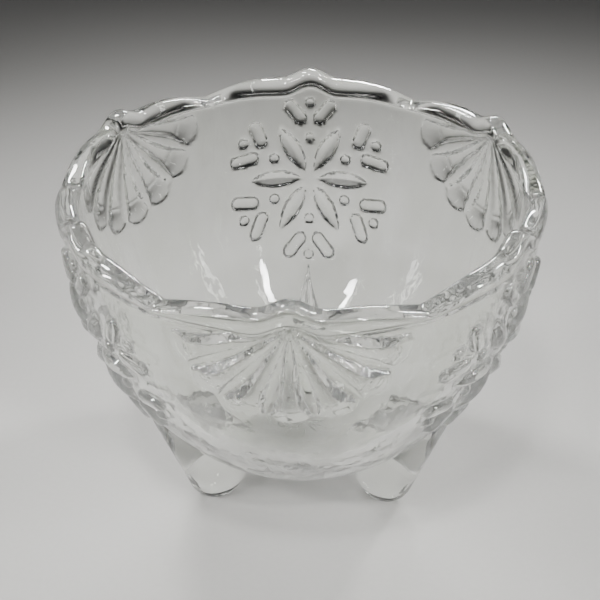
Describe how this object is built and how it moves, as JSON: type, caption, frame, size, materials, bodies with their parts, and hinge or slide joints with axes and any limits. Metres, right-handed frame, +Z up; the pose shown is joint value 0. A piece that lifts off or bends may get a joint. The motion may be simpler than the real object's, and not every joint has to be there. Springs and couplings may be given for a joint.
{
  "type": "candy_dish",
  "caption": "Clear pressed-glass candy dish with a round bowl, a scalloped bracket rim, fan and snow-flower relief round the wall, and three solid toes.",
  "frame": {"origin": "On the table under the middle of the bowl, in the plane of the three toe pads.", "axes": "+Z up, out of the mouth of the bowl. +Y runs from the middle through one toe, the flower above it and the point of the rim lobe above that. +X completes a right-handed frame."},
  "size_m": [0.1184, 0.1161, 0.0925],
  "materials": {
    "glass": "pressed soda-lime glass, fire polished"
  },
  "bodies": {
    "root": {"bowl": "glass", "rim": "glass", "base_star": "glass", "toe_back": "glass", "toe_left": "glass", "toe_right": "glass", "fan_front": "glass", "fan_right": "glass", "fan_left": "glass", "flower_back": "glass", "flower_left": "glass", "flower_right": "glass"}
  },
  "joints": []
}
